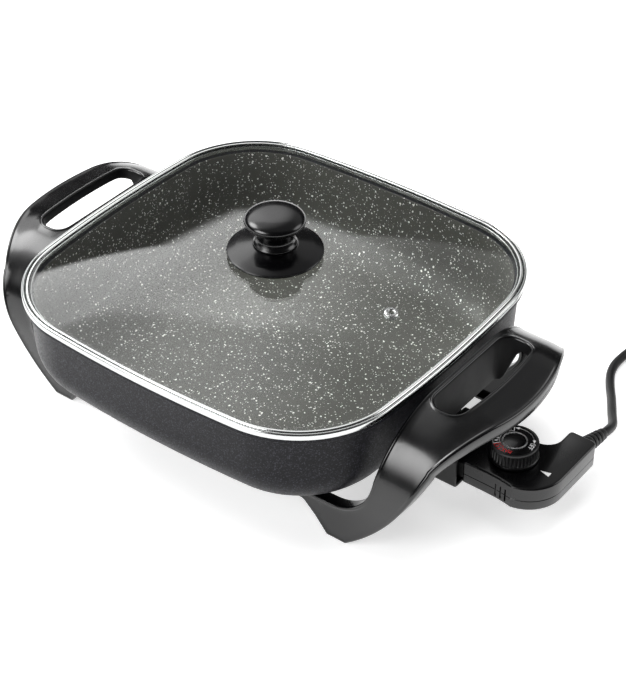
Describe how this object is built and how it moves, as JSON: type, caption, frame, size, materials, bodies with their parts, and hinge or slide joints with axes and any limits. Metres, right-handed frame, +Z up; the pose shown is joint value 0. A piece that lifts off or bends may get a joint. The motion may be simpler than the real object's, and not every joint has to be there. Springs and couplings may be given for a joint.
{
  "type": "electric skillet",
  "caption": "Square electric frying pan with two footed handles, a lift-off domed glass lid and a plug-in dial thermostat on a mains lead.",
  "frame": {"origin": "on the worktop under the middle of the pan, in the plane of the four feet", "axes": "+Z up, +X towards the handle with the thermostat, +Y towards the side where the mains lead leaves"},
  "size_m": [0.5414, 0.5042, 0.1643],
  "materials": {
    "cast_coating": "satin",
    "heater_sheath": "satin",
    "bright_steel": "satin",
    "ceramic": "matte",
    "matte_black": "matte",
    "phenolic": "gloss",
    "clear_glass": "gloss",
    "lid_steel": "satin",
    "grey_rubber": "matte",
    "gloss_case": "gloss",
    "brass_contacts": "satin",
    "dial_print": "gloss",
    "soft_black": "matte"
  },
  "bodies": {
    "base": {"pan": "cast_coating", "heating_element": "heater_sheath", "element_pins": "bright_steel", "pin_insulators": "ceramic", "terminal_guard": "matte_black", "guard_screws": "bright_steel", "handle_right": "phenolic", "handle_left": "phenolic", "handle_screws": "bright_steel"},
    "lid": {"lid_glass": "clear_glass", "lid_band": "lid_steel", "steam_vent": "lid_steel", "knob": "phenolic", "knob_collar": "phenolic", "knob_screw": "bright_steel", "knob_washer": "bright_steel", "knob_gasket": "grey_rubber"},
    "controller": {"case_lower": "gloss_case", "case_upper": "gloss_case", "case_screws": "bright_steel", "probe": "bright_steel", "contact_carrier": "matte_black", "contact_sleeves": "brass_contacts", "bimetal_arm": "brass_contacts", "switch_block": "ceramic", "strain_relief": "soft_black", "cord": "soft_black", "cord_coil": "soft_black", "cord_tie": "matte_black", "cord_tail": "soft_black", "plug": "soft_black", "plug_pins": "bright_steel", "plug_earth": "brass_contacts"},
    "dial_knob": {"dial": "gloss_case", "dial_face": "dial_print", "dial_shaft": "bright_steel"}
  },
  "joints": [
    {"name": "lid_lift", "type": "slide", "parent": "base", "child": "lid", "axis": [0, 0, 1], "range_m": [0, 0.15]},
    {"name": "thermostat_plug", "type": "slide", "parent": "base", "child": "controller", "axis": [1, 0, 0], "range_m": [0, 0.09]},
    {"name": "dial_turn", "type": "hinge", "parent": "controller", "child": "dial_knob", "pos_m": [0.202, 0.003, 0.05], "axis": [0, 0, 1], "range_deg": [0, 270]}
  ]
}
